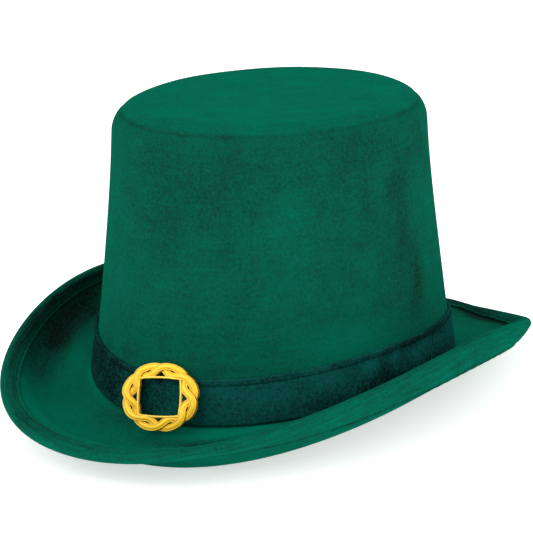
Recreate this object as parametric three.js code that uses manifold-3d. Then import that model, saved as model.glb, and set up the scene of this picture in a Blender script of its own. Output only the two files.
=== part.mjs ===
// Leprechaun hat: an oval velour crown on a brim that curls up at both sides, with a padded
// binding round the brim's edge, a folded velour band and a cast braided buckle.
// Millimetres, +Z up, the front towards -Y. The hat rests on z = 0 and its crown stands on
// the Z axis. A turn is an angle round the crown: 0 at the front, 90 at +X, 180 at the back.
import * as THREE from "three";
import { mergeVertices } from "three/addons/utils/BufferGeometryUtils.js";
import Module from "manifold-3d";

const wasm = await Module();
wasm.setup();

// Crown: half lengths of its oval, front to back and side to side, at z = 0 and at the tip
const CROWN_TOP = 155;
const CROWN_FOOT_FRONT = 101.7;
const CROWN_FOOT_SIDE = 93.9;
const CROWN_TIP_FRONT = 86.1;
const CROWN_TIP_SIDE = 74.8;
const CROWN_WAIST = 2.3; // drawn in by this much half way up
const CROWN_EDGE_RADIUS = 14.5;
const CROWN_WALL = 2;

// Band: a folded strip round the foot of the crown, higher at the sides
const BAND_LOW = 11.2; // lower edge at front and back
const BAND_RISE = 9.4; // how much higher it lies at the sides
const BAND_HEIGHT = 22.6;
const BAND_THICK = 1.2;
const BAND_FOLD_HEIGHT = 3; // the turned-over top edge
const BAND_FOLD_SWELL = 0.5;
const BAND_LIFT = 0.5; // between the lower edge and the brim's fillet

// Brim: one sheet, whose collar stands inside the crown
const BRIM_THICK = 2.4;
const BRIM_FILLET = 4; // radius of the sheet's middle where it turns out of the collar
const COLLAR_HEIGHT = 10;
const RIM_HALF_LENGTH = 160.8;
const RIM_HALF_WIDTH = 117.9;
const RIM_SQUARENESS = 2.08; // 2 is an ellipse
const RIM_FRONT_HEIGHT = 13.9;
const RIM_BACK_HEIGHT = 2.6;
const RIM_SIDE_HEIGHT = 45.3;
const RIM_QUARTER_LIFT = 2.7; // the rim rises by this much between sides, front and back
const CURL_SPREAD = 1.95; // power of the sine that spreads the side section to front and back
const REST_BLEND = 0.6; // how softly the flattened cloth leaves the surface it rests on

// Slopes in degrees where the sheet leaves the fillet and where it meets the rim, and how far
// it keeps each slope, as a share of the straight distance between the two
const BRIM_SECTIONS = {
  front: { leaveSlope: -33, rimSlope: -4, leavePull: 0.79, rimPull: 0.62 },
  side: { leaveSlope: 16.5, rimSlope: 95, leavePull: 1.03, rimPull: 0.2 },
  back: { leaveSlope: -11.5, rimSlope: 18, leavePull: 0.7, rimPull: 0.22 },
};

// Hem: a padded binding folded over the brim's edge, with a wire in its roll
const HEM_TOP_WIDTH = 9.4;
const HEM_UNDER_WIDTH = 13;
const HEM_HALF_THICK = 3;
const HEM_SKIN = 1;
const HEM_CORE = 3.4; // solid roll beyond the brim's edge

// Buckle: a ring of two crossing strands round a thin rectangular frame
const BUCKLE_WIDTH = 42.4;
const BUCKLE_HEIGHT = 32.4;
const BUCKLE_TURN = 5.9; // sewn on a little beside the middle of the front
const BUCKLE_LEAN = 20; // its foot stands out over the start of the brim
const BUCKLE_ROLL = 8.3; // sewn on a little askew: its +X end is higher
const BUCKLE_RAISE = 2.1; // its middle above the band's
const BUCKLE_LOBES = 4; // outward swings of each strand
const STRAND_WIDTH = 3.7;
const STRAND_THICK = 2.2;
const STRAND_SWING = 2.05; // in and out of the ring's mean line
const STRAND_WEAVE = 0.45; // over and under the other strand
const RIB_WIDTH = 2.2; // broad rib between the strand's edges
const RIB_HEIGHT = 0.6; // above the edges
const FRAME_OPENING_WIDTH = 22.3;
const FRAME_OPENING_HEIGHT = 16.7;
const FRAME_BAR = 1.05;
const FRAME_THICK = 1.5;

const GAP = 0.3; // between pieces that touch on the real hat

// Fineness of the faceted surfaces
const TURN_STEPS = 60;
const CURVE_SAMPLES = 48;
const STRAND_STEPS = 48;
const BRIM_STATIONS = [0, 0.2, 0.4, 0.5, 0.74]; // shares of the way from fillet to hem

const radians = THREE.MathUtils.degToRad;
const mix = THREE.MathUtils.lerp;

// Shapes shared by the pieces

function crownFront(z) {
  const share = z / CROWN_TOP;
  return mix(CROWN_FOOT_FRONT, CROWN_TIP_FRONT, share) - CROWN_WAIST * 4 * share * (1 - share);
}

function crownSide(z) {
  const share = z / CROWN_TOP;
  return mix(CROWN_FOOT_SIDE, CROWN_TIP_SIDE, share) - CROWN_WAIST * 4 * share * (1 - share);
}

// A point of the crown's oval at height z, moved out by offset
function ovalPoint(turn, z, offset) {
  const x = (crownSide(z) + offset) * Math.sin(turn);
  const y = -(crownFront(z) + offset) * Math.cos(turn);
  return new THREE.Vector3(x, y, z);
}

function bandFoot(turn) {
  return BAND_LOW + BAND_RISE * Math.sin(turn) ** 2;
}

// The fillet's centre, which is also the height where the crown's wall ends
function filletHeight(turn) {
  return bandFoot(turn) - BAND_LIFT + BRIM_FILLET - BRIM_THICK / 2;
}

function rimPoint(turn) {
  const sine = Math.sin(turn);
  const cosine = Math.cos(turn);
  const across = (Math.abs(sine) / RIM_HALF_WIDTH) ** RIM_SQUARENESS;
  const along = (Math.abs(cosine) / RIM_HALF_LENGTH) ** RIM_SQUARENESS;
  const radius = 1 / (across + along) ** (1 / RIM_SQUARENESS);
  const ends = mix(RIM_BACK_HEIGHT, RIM_FRONT_HEIGHT, (1 + cosine) / 2);
  const quarters = RIM_QUARTER_LIFT * Math.sin(2 * turn) ** 2;
  const z = mix(ends, RIM_SIDE_HEIGHT, sine ** 2) + quarters;
  return new THREE.Vector3(radius * sine, -radius * cosine, z);
}

function brimValue(name, turn) {
  const end = Math.cos(turn) > 0 ? BRIM_SECTIONS.front : BRIM_SECTIONS.back;
  const share = Math.abs(Math.sin(turn)) ** CURL_SPREAD;
  return mix(end[name], BRIM_SECTIONS.side[name], share);
}

// Lowest height of the sheet's middle at a distance from the rim: the hem needs more room
function restHeight(inset) {
  const share = THREE.MathUtils.smoothstep(inset, HEM_UNDER_WIDTH, 2 * HEM_UNDER_WIDTH);
  return mix(HEM_HALF_THICK, BRIM_THICK / 2, share);
}

function flattened(z, floor) {
  const above = z - floor;
  if (above > REST_BLEND) {
    return z;
  }
  return floor + Math.max(above + REST_BLEND, 0) ** 2 / (4 * REST_BLEND);
}

// One upright section of the brim. Its path runs from the collar's top down round the fillet
// and out to the rim; each station holds a distance out from the crown, a height, and the
// direction square to the sheet. Stations of the curve also hold their inset from the rim.
function brimSection(turn) {
  const height = filletHeight(turn);
  const base = ovalPoint(turn, height, 0);
  const rim = rimPoint(turn);
  const out = new THREE.Vector3(rim.x - base.x, rim.y - base.y, 0);
  const reach = out.length();
  out.normalize();

  const collar = CROWN_WALL + GAP + BRIM_THICK / 2;
  const centre = BRIM_FILLET - collar;
  const leave = radians(brimValue("leaveSlope", turn));
  const arrive = radians(brimValue("rimSlope", turn));
  const collarTop = ovalPoint(turn, height + COLLAR_HEIGHT, -collar).sub(base);
  const throat = [{ out: collarTop.dot(out), z: height + COLLAR_HEIGHT }];
  for (const share of [0, 1 / 3, 2 / 3]) {
    const slope = mix(-Math.PI / 2, leave, share);
    throat.push({
      out: centre + BRIM_FILLET * Math.sin(slope),
      z: height - BRIM_FILLET * Math.cos(slope),
    });
  }

  const start = new THREE.Vector2(
    centre + BRIM_FILLET * Math.sin(leave),
    height - BRIM_FILLET * Math.cos(leave),
  );
  const end = new THREE.Vector2(reach, rim.z);
  const straight = start.distanceTo(end);
  const leaveArm = straight * brimValue("leavePull", turn);
  const rimArm = straight * brimValue("rimPull", turn);
  const curve = new THREE.CubicBezierCurve(
    start,
    new THREE.Vector2(start.x + leaveArm * Math.cos(leave), start.y + leaveArm * Math.sin(leave)),
    new THREE.Vector2(end.x - rimArm * Math.cos(arrive), end.y - rimArm * Math.sin(arrive)),
    end,
  );
  curve.arcLengthDivisions = 4 * CURVE_SAMPLES;
  const length = curve.getLength();
  const samples = curve.getSpacedPoints(CURVE_SAMPLES).map((point, index) => {
    const inset = length * (1 - index / CURVE_SAMPLES);
    return { out: point.x, z: flattened(point.y, restHeight(inset)), inset };
  });

  // The sheet's point at an inset from the rim, moved up its own normal by lift
  function onSheet(inset, lift) {
    const place = (1 - inset / length) * CURVE_SAMPLES;
    const index = THREE.MathUtils.clamp(Math.floor(place), 0, CURVE_SAMPLES - 1);
    const before = samples[index];
    const after = samples[index + 1];
    const share = place - index;
    const low = samples[Math.max(index - 1, 0)];
    const high = samples[Math.min(index + 2, CURVE_SAMPLES)];
    const way = new THREE.Vector2(high.out - low.out, high.z - low.z).normalize();
    return toSpace(
      mix(before.out, after.out, share) - way.y * lift,
      mix(before.z, after.z, share) + way.x * lift,
    );
  }

  function onThroat(index, lift) {
    const station = throat[index];
    const low = throat[Math.max(index - 1, 0)];
    const high = index + 1 < throat.length ? throat[index + 1] : samples[0];
    const slope = index === 0
      ? Math.atan2(high.z - low.z, high.out - low.out)
      : mix(-Math.PI / 2, leave, (index - 1) / 3);
    return toSpace(station.out - Math.sin(slope) * lift, station.z + Math.cos(slope) * lift);
  }

  function toSpace(distance, z) {
    return new THREE.Vector3(base.x + out.x * distance, base.y + out.y * distance, z);
  }

  return { onSheet, onThroat, throatCount: throat.length, length };
}

// Meshes made from rings

const TURNS = Array.from({ length: TURN_STEPS }, (_, step) => (2 * Math.PI * step) / TURN_STEPS);

function signedVolume(points, faces) {
  let volume = 0;
  for (const [a, b, c] of faces) {
    volume += points[a].dot(new THREE.Vector3().crossVectors(points[b], points[c]));
  }
  return volume / 6;
}

function toGeometry(points, faces) {
  const outward = signedVolume(points, faces) > 0;
  const index = faces.flatMap(([a, b, c]) => (outward ? [a, b, c] : [a, c, b]));
  const geometry = new THREE.BufferGeometry().setFromPoints(points);
  geometry.setIndex(index);
  geometry.computeVertexNormals();
  return geometry;
}

// Faces between the loops of points in a closed row of loops
function stripFaces(loopCount, loopSize, closed) {
  const faces = [];
  const rows = closed ? loopCount : loopCount - 1;
  for (let row = 0; row < rows; row += 1) {
    const here = row * loopSize;
    const next = ((row + 1) % loopCount) * loopSize;
    for (let i = 0; i < loopSize; i += 1) {
      const j = (i + 1) % loopSize;
      faces.push([here + i, next + i, next + j], [here + i, next + j, here + j]);
    }
  }
  return faces;
}

// A closed section carried once round: sections is a list of loops of equal size
function ringGeometry(sections) {
  return toGeometry(sections.flat(), stripFaces(sections.length, sections[0].length, true));
}

// Level rings from one middle point to another
function shellGeometry(first, rings, last) {
  const size = rings[0].length;
  const points = [...rings.flat(), first, last];
  const faces = stripFaces(rings.length, size, false);
  const lastRing = (rings.length - 1) * size;
  for (let i = 0; i < size; i += 1) {
    const j = (i + 1) % size;
    faces.push([points.length - 2, i, j], [points.length - 1, lastRing + j, lastRing + i]);
  }
  return toGeometry(points, faces);
}

function cleanGeometry(geometry) {
  const bare = geometry.clone();
  bare.deleteAttribute("normal");
  bare.deleteAttribute("uv");
  return mergeVertices(bare);
}

function toManifold(geometry) {
  const merged = cleanGeometry(geometry);
  return new wasm.Manifold(new wasm.Mesh({
    numProp: 3,
    vertProperties: new Float32Array(merged.attributes.position.array),
    triVerts: new Uint32Array(merged.index.array),
  }));
}

function fromManifold(manifold) {
  const { vertProperties, triVerts } = manifold.getMesh();
  const geometry = new THREE.BufferGeometry();
  geometry.setAttribute("position", new THREE.BufferAttribute(vertProperties, 3));
  geometry.setIndex(new THREE.BufferAttribute(triVerts, 1));
  geometry.computeVertexNormals();
  return geometry;
}

// Pieces

function crownRing(height, offset) {
  return TURNS.map((turn) => ovalPoint(turn, height(turn), offset));
}

// A ring of the rounded top edge: slope 0 is the upright wall and 90 degrees the flat tip
function edgeRing(slope, wall) {
  const radius = CROWN_EDGE_RADIUS - wall;
  const z = CROWN_TOP - CROWN_EDGE_RADIUS + radius * Math.sin(slope);
  const inward = CROWN_EDGE_RADIUS - radius * Math.cos(slope);
  return TURNS.map((turn) => ovalPoint(turn, z, -inward));
}

function crownGeometry() {
  const edgeStart = CROWN_TOP - CROWN_EDGE_RADIUS;
  const bandTop = (turn) => bandFoot(turn) + BAND_HEIGHT;
  const wallHeight = (share) => (turn) => mix(bandTop(turn), edgeStart, share);
  const outside = [
    ...[90, 60, 30].map((slope) => edgeRing(radians(slope), 0)),
    ...[1, 2 / 3, 1 / 3, 0].map((share) => crownRing(wallHeight(share), 0)),
    crownRing(filletHeight, 0),
  ];
  const inside = [
    crownRing(filletHeight, -CROWN_WALL),
    ...[0, 1 / 2, 1].map((share) => crownRing(wallHeight(share), -CROWN_WALL)),
    ...[45, 90].map((slope) => edgeRing(radians(slope), CROWN_WALL)),
  ];
  const tip = new THREE.Vector3(0, 0, CROWN_TOP);
  const ceiling = new THREE.Vector3(0, 0, CROWN_TOP - CROWN_WALL);
  return shellGeometry(tip, [...outside, ...inside], ceiling);
}

function brimGeometry() {
  const edge = HEM_CORE + GAP;
  const underHem = (HEM_TOP_WIDTH + edge) / 2;
  const sections = TURNS.map((turn) => {
    const section = brimSection(turn);
    const side = (lift) => {
      const loop = [];
      for (let index = 0; index < section.throatCount; index += 1) {
        loop.push(section.onThroat(index, lift));
      }
      for (const share of BRIM_STATIONS) {
        loop.push(section.onSheet(mix(section.length, HEM_UNDER_WIDTH, share), lift));
      }
      for (const inset of [HEM_UNDER_WIDTH, HEM_TOP_WIDTH, underHem, edge]) {
        loop.push(section.onSheet(inset, lift));
      }
      return loop;
    };
    return [...side(BRIM_THICK / 2), ...side(-BRIM_THICK / 2).reverse()];
  });
  return ringGeometry(sections);
}

function hemGeometry() {
  const slot = BRIM_THICK / 2 + GAP;
  const seam = slot + HEM_SKIN;
  const roll = HEM_HALF_THICK;
  const bevel = roll * (1 - Math.SQRT1_2);
  const middle = (HEM_TOP_WIDTH + HEM_CORE + GAP) / 2;
  const outline = [
    [HEM_UNDER_WIDTH, -seam],
    [HEM_TOP_WIDTH, -roll],
    [middle, -roll],
    [roll, -roll],
    [bevel, -roll * Math.SQRT1_2],
    [0, 0],
    [bevel, roll * Math.SQRT1_2],
    [roll, roll],
    [middle, roll],
    [HEM_TOP_WIDTH, seam],
    [HEM_TOP_WIDTH, slot],
    [middle, slot],
    [HEM_CORE, slot],
    [HEM_CORE, -slot],
    [middle, -slot],
    [HEM_TOP_WIDTH, -slot],
    [HEM_UNDER_WIDTH, -slot],
  ];
  return ringGeometry(TURNS.map((turn) => {
    const section = brimSection(turn);
    return outline.map(([inset, lift]) => section.onSheet(inset, lift));
  }));
}

function bandGeometry() {
  const face = GAP + BAND_THICK;
  const swell = face + BAND_FOLD_SWELL;
  const foldFoot = BAND_HEIGHT - BAND_FOLD_HEIGHT;
  const outline = [
    [0, GAP],
    [0, face],
    [foldFoot, face],
    [foldFoot + BAND_FOLD_HEIGHT / 4, swell],
    [BAND_HEIGHT - BAND_FOLD_HEIGHT / 4, swell],
    [BAND_HEIGHT, face],
    [BAND_HEIGHT, GAP],
  ];
  return ringGeometry(TURNS.map((turn) => (
    outline.map(([height, offset]) => ovalPoint(turn, bandFoot(turn) + height, offset))
  )));
}

// One strand of the ring, with a broad rib; side is 1 or -1 for the two that cross
function strandGeometry(side) {
  const half = STRAND_WIDTH / 2;
  const back = -STRAND_THICK / 2;
  const crest = STRAND_THICK / 2;
  const outline = [
    [-half, back],
    [half, back],
    [half, crest - RIB_HEIGHT],
    [RIB_WIDTH / 2, crest],
    [-RIB_WIDTH / 2, crest],
    [-half, crest - RIB_HEIGHT],
  ];
  const meanRadius = BUCKLE_HEIGHT / 2 - half - STRAND_SWING / 2;
  const widen = BUCKLE_WIDTH / BUCKLE_HEIGHT;
  const middle = (angle) => {
    const radius = meanRadius + side * STRAND_SWING * Math.sin(BUCKLE_LOBES * angle);
    return new THREE.Vector2(radius * Math.cos(angle), radius * Math.sin(angle));
  };
  const loops = [];
  for (let step = 0; step < STRAND_STEPS; step += 1) {
    const angle = (2 * Math.PI * step) / STRAND_STEPS;
    const nudge = Math.PI / STRAND_STEPS / 4;
    const way = middle(angle + nudge).sub(middle(angle - nudge)).normalize();
    const centre = middle(angle);
    const rise = -side * STRAND_WEAVE * Math.cos(BUCKLE_LOBES * angle);
    loops.push(outline.map(([across, up]) => new THREE.Vector3(
      (centre.x + way.y * across) * widen,
      centre.y - way.x * across,
      rise + up,
    )));
  }
  return ringGeometry(loops);
}

// The frame's back is level with the strands' mean back
function frameGeometry() {
  const rectangle = (path, width, height) => {
    path.moveTo(-width / 2, -height / 2);
    path.lineTo(width / 2, -height / 2);
    path.lineTo(width / 2, height / 2);
    path.lineTo(-width / 2, height / 2);
    path.closePath();
    return path;
  };
  const bars = 2 * FRAME_BAR;
  const shape = rectangle(new THREE.Shape(), FRAME_OPENING_WIDTH + bars, FRAME_OPENING_HEIGHT + bars);
  shape.holes.push(rectangle(new THREE.Path(), FRAME_OPENING_WIDTH, FRAME_OPENING_HEIGHT));
  const geometry = new THREE.ExtrudeGeometry(shape, { depth: FRAME_THICK, bevelEnabled: false });
  return geometry.translate(0, 0, -STRAND_THICK / 2);
}

function buckleGeometry() {
  const over = toManifold(strandGeometry(1));
  const under = toManifold(strandGeometry(-1));
  return fromManifold(over.add(under).add(toManifold(frameGeometry())));
}

// The buckle's back leans against the band's fold, and its middle is level with the band's
function placeBuckle(mesh) {
  const turn = radians(BUCKLE_TURN);
  const lean = radians(BUCKLE_LEAN);
  const foldTop = bandFoot(turn) + BAND_HEIGHT;
  const touch = ovalPoint(turn, foldTop, GAP + BAND_THICK + BAND_FOLD_SWELL + GAP);
  const down = BAND_HEIGHT / 2 - BUCKLE_RAISE;
  const seat = new THREE.Group();
  seat.position.copy(touch);
  seat.rotation.set(0, 0, turn);
  mesh.rotation.set(Math.PI / 2 - lean, 0, radians(BUCKLE_ROLL));
  const upright = new THREE.Vector3(0, Math.sin(lean), Math.cos(lean));
  const outward = new THREE.Vector3(0, -Math.cos(lean), Math.sin(lean));
  mesh.position.copy(upright.multiplyScalar(-down / Math.cos(lean)));
  mesh.position.add(outward.multiplyScalar(STRAND_THICK / 2));
  seat.add(mesh);
  return seat;
}

const velour = { color: 0x0a5f48, roughness: 0.95, metalness: 0 };
const materials = {
  crown: new THREE.MeshStandardMaterial(velour),
  brim: new THREE.MeshStandardMaterial(velour),
  hem: new THREE.MeshStandardMaterial({ ...velour, color: 0x0b6a50 }),
  band: new THREE.MeshStandardMaterial({ ...velour, color: 0x07332f }),
  buckle: new THREE.MeshStandardMaterial({ color: 0xe9b52c, roughness: 0.35, metalness: 1 }),
};

function piece(name, geometry, material) {
  const mesh = new THREE.Mesh(geometry, material);
  mesh.name = name;
  return mesh;
}

const hat = new THREE.Group();
hat.add(piece("crown", crownGeometry(), materials.crown));
hat.add(piece("brim", brimGeometry(), materials.brim));
hat.add(piece("brim_hem", hemGeometry(), materials.hem));
hat.add(piece("hat_band", bandGeometry(), materials.band));
hat.add(placeBuckle(piece("buckle", buckleGeometry(), materials.buckle)));

export default hat;
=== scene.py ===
"""Leprechaun hat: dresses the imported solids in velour, a padded hem, a folded band and gold.

The crown, brim, hem, band and buckle are worked out again as smooth surfaces from the sizes
that the solids have. Sizes in the classes are millimetres and meshes are metres. A turn is an
angle round the crown: 0 at the front, towards -Y, and 90 degrees at +X. A lift is a distance
out of the brim's sheet along its upper normal, and an inset a distance along the sheet from
the brim's rim.
"""

import logging
import math
from dataclasses import dataclass, field
from enum import Enum
from typing import ClassVar

import bpy
import numpy as np
from mathutils import Matrix, Vector


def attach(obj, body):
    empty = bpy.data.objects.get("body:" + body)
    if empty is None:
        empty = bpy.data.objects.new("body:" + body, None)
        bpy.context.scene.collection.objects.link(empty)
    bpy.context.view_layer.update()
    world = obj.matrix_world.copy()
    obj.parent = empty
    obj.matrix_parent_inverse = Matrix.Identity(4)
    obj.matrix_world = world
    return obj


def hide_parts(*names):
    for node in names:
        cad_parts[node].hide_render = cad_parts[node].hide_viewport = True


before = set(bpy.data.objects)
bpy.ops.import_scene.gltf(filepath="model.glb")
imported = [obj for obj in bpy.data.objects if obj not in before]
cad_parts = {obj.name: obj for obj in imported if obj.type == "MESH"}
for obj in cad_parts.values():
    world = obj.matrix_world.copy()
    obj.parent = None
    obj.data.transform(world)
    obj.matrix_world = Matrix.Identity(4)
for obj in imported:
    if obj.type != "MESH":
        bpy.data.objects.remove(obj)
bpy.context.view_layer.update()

log = logging.getLogger("hat")

MM = 0.001
FULL_TURN = 2.0 * math.pi
BODY = "root"

Color = tuple[float, float, float]


class Slot(Enum):
    """The record's material slots."""

    GREEN_VELOUR = "green_velour"
    HEM_VELOUR = "hem_velour"
    BAND_VELOUR = "band_velour"
    GOLD_BUCKLE = "gold_buckle"


class Field(Enum):
    """The named values that the pieces' points carry for their materials."""

    LAY = "lay"
    # Darkness of crushed pile and painted shade; negative values are painted highlights.
    CRUSH_AND_SHADE = "crush"
    # Darkness at seams, painted shade in creases, grooves and valleys, and painted highlights where
    # negative.
    SEAM_AND_SHADE = "seam"
    CREST = "crest"


class Ripple(Enum):
    """Each slow unevenness: its shortest wave along the surface in millimetres, and its seed."""

    TIP = (80.0, 11)
    WALL = (90.0, 3)
    CREASE = (60.0, 5)
    SHEET = (70.0, 21)
    HEM = (60.0, 31)
    BAND = (60.0, 41)


# Shapes worked out with numpy


def bell(value: np.ndarray, centre: float, spread: float) -> np.ndarray:
    """A bell curve of height 1.

    The formula is e to the power of minus the square of the distance from the centre over the
    spread.

    Args:
        value: Where it is worked out.
        centre: Where it is 1.
        spread: How far from the centre it falls to 1/e.

    Returns:
        The curve's height at each value.
    """
    return np.exp(-(((value - centre) / spread) ** 2))


def smooth_step(value: np.ndarray, low: float, high: float) -> np.ndarray:
    """A soft step: with s the share of the way from low to high, 3 s squared minus 2 s cubed.

    Args:
        value: Where it is worked out.
        low: Up to here the step is 0.
        high: From here on it is 1.

    Returns:
        The step's height at each value.
    """
    share = np.clip((value - low) / (high - low), 0.0, 1.0)
    return share * share * (3.0 - 2.0 * share)


def ripple(turn: np.ndarray, along: np.ndarray, kind: Ripple) -> np.ndarray:
    """Slow unevenness of moulded felt, which closes round the crown.

    It is a quarter of the sum of eight sine waves. Each has a whole number of waves round the
    turn, a random share of a wave in each pitch along the surface, and a random start.

    Args:
        turn: Turns round the crown in radians.
        along: Distances along the surface, across the turn, in millimetres.
        kind: Which unevenness it is.

    Returns:
        Heights from about -1 to 1.
    """
    pitch, seed = kind.value
    rng = np.random.default_rng(seed)
    total = np.zeros(np.broadcast(turn, along).shape)
    for waves in range(2, 10):
        slant = rng.uniform(-1.0, 1.0) / pitch
        start = rng.uniform(0.0, FULL_TURN)
        total = total + np.sin(waves * turn + FULL_TURN * slant * along + start)
    return total / 4.0


def turns(count: int) -> np.ndarray:
    """Equal turns all the way round, without the last, which is the first again."""
    return np.linspace(0.0, FULL_TURN, count, endpoint=False)


def away_from(turn: np.ndarray, middle: float) -> np.ndarray:
    """Degrees from a middle turn, itself in degrees, to turns in radians: -180 to 180."""
    return (np.degrees(turn) - middle + 180.0) % 360.0 - 180.0


def unit(vectors: np.ndarray) -> np.ndarray:
    """Vectors of length 1 in the same directions."""
    return vectors / np.linalg.norm(vectors, axis=-1, keepdims=True)


def run_of(rings: np.ndarray) -> np.ndarray:
    """Mean distance over the surface from the first ring to each ring, as a column."""
    steps = np.linalg.norm(np.diff(rings, axis=0), axis=2).mean(axis=1)
    return np.concatenate([[0.0], np.cumsum(steps)])[:, None]


@dataclass(frozen=True)
class NapAndShadePatch:
    """A soft patch of darker brushed pile and painted shade, or of brighter pile and painted
    highlight where its depth is negative.
    """

    turn: float
    place: float
    turn_spread: float
    place_spread: float
    depth: float

    def over(self, turn: np.ndarray, place: np.ndarray) -> np.ndarray:
        """Darkness of the patch: its depth times a bell curve in turn and one in place.

        Args:
            turn: Turns in radians.
            place: Places across the turn, in the same unit as the patch's own.

        Returns:
            The darkness at each point.
        """
        round_it = bell(away_from(turn, self.turn), 0.0, self.turn_spread)
        return self.depth * round_it * bell(place, self.place, self.place_spread)


def nap_and_shade_rows(*rows: tuple[float, float, float, float, float]) -> tuple[NapAndShadePatch, ...]:
    """Patches from rows of turn, place, turn spread, place spread and depth."""
    return tuple(NapAndShadePatch(*row) for row in rows)


def patched(patches: tuple[NapAndShadePatch, ...], turn: np.ndarray, place: np.ndarray) -> np.ndarray:
    """Sum of several patches' darkness, with turns and places spread to one layout."""
    turn, place = np.broadcast_arrays(turn, place)
    return sum((patch.over(turn, place) for patch in patches), np.zeros(turn.shape))


@dataclass
class Surface:
    """A closed mesh in the making: points in millimetres, faces, and values at the points."""

    points: np.ndarray
    faces: list[list[int]]
    fields: dict[Field, np.ndarray] = field(default_factory=dict)

    @classmethod
    def from_rings(
        cls,
        rings: np.ndarray,
        fields: dict[Field, np.ndarray],
        closed: bool = False,
        capped: bool = False,
    ) -> "Surface":
        """Joins rings of points with quads.

        Args:
            rings: Points as rows of rings, with each ring's points in its columns.
            fields: Values at the points, which are spread to the rings' rows and columns.
            closed: Whether the last ring is joined to the first.
            capped: Whether the first and last ring are closed with a point in their middle.

        Returns:
            The surface, with its faces turned outwards.
        """
        rows, columns = rings.shape[:2]
        index = np.arange(rows * columns).reshape(rows, columns)
        here = index if closed else index[:-1]
        after = np.roll(index, -1, axis=0) if closed else index[1:]
        quads = np.stack(
            [here, np.roll(here, -1, axis=1), np.roll(after, -1, axis=1), after], axis=-1
        )
        points = rings.reshape(-1, 3)
        values = {}
        for name, value in fields.items():
            spread = np.broadcast_to(value, (rows, columns, *value.shape[2:]))
            values[name] = spread.reshape(rows * columns, -1)
        faces = quads.reshape(-1, 4).tolist()
        if capped:
            for ring, turned in ((index[0], False), (index[-1], True)):
                middle = len(points)
                points = np.vstack([points, points[ring].mean(axis=0)])
                values = {
                    name: np.vstack([value, value[ring].mean(axis=0)])
                    for name, value in values.items()
                }
                beside = np.roll(ring, -1)
                start, stop = (ring, beside) if turned else (beside, ring)
                fan = np.stack([start, stop, np.full_like(ring, middle)], axis=-1)
                faces += fan.tolist()
        return cls(points, faces, values).outward()

    def outward(self) -> "Surface":
        """Turns every face over if the signed volume is below zero.

        The volume is that of the tetrahedra between each face's triangles and the origin.

        Returns:
            The same surface.
        """
        corners = np.array([[face[0], face[1], face[2]] for face in self.faces])
        ends = np.array([[face[0], face[-2], face[-1]] for face in self.faces if len(face) == 4])
        volume = 0.0
        for triple in (corners, ends):
            if len(triple):
                a, b, c = (self.points[triple[:, i]] for i in range(3))
                volume += float((a * np.cross(b, c)).sum())
        if volume < 0.0:
            self.faces = [face[::-1] for face in self.faces]
        return self

    def joined(self, other: "Surface") -> "Surface":
        """This surface and another one as one, with both keeping their own faces.

        Args:
            other: The other surface, with the same named values.

        Returns:
            A new surface.
        """
        step = len(self.points)
        return Surface(
            np.vstack([self.points, other.points]),
            self.faces + [[corner + step for corner in face] for face in other.faces],
            {name: np.vstack([self.fields[name], other.fields[name]]) for name in self.fields},
        )

    def to_object(self, name: str, material: bpy.types.Material) -> bpy.types.Object:
        """Makes a smooth Blender object of it, at the origin and in metres.

        Args:
            name: The piece's name.
            material: Its only material.

        Returns:
            The object, which is in the scene.
        """
        mesh = bpy.data.meshes.new(name)
        mesh.from_pydata((self.points * MM).tolist(), [], self.faces)
        for label, value in self.fields.items():
            wide = value.shape[1] == 3
            kind, slot = ("FLOAT_VECTOR", "vector") if wide else ("FLOAT", "value")
            layer = mesh.attributes.new(label.value, kind, "POINT")
            layer.data.foreach_set(slot, value.astype(np.float32).ravel())
        mesh.polygons.foreach_set("use_smooth", np.ones(len(mesh.polygons), dtype=bool))
        mesh.materials.append(material)
        mesh.update()
        made = bpy.data.objects.new(name, mesh)
        bpy.context.scene.collection.objects.link(made)
        return made


def lay_field(turn: np.ndarray, along: np.ndarray, radius: float) -> np.ndarray:
    """Places on the cloth that close round the turn, in metres.

    The first two values are the point of a circle of the mean radius at that turn, and the
    third is the distance along the surface.

    Args:
        turn: Turns in radians.
        along: Distances along the surface in millimetres.
        radius: The cloth's mean radius in millimetres.

    Returns:
        Vectors, one for each point.
    """
    turn, along = np.broadcast_arrays(turn, along)
    return np.stack([radius * np.cos(turn), radius * np.sin(turn), along], axis=-1) * MM


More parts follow.
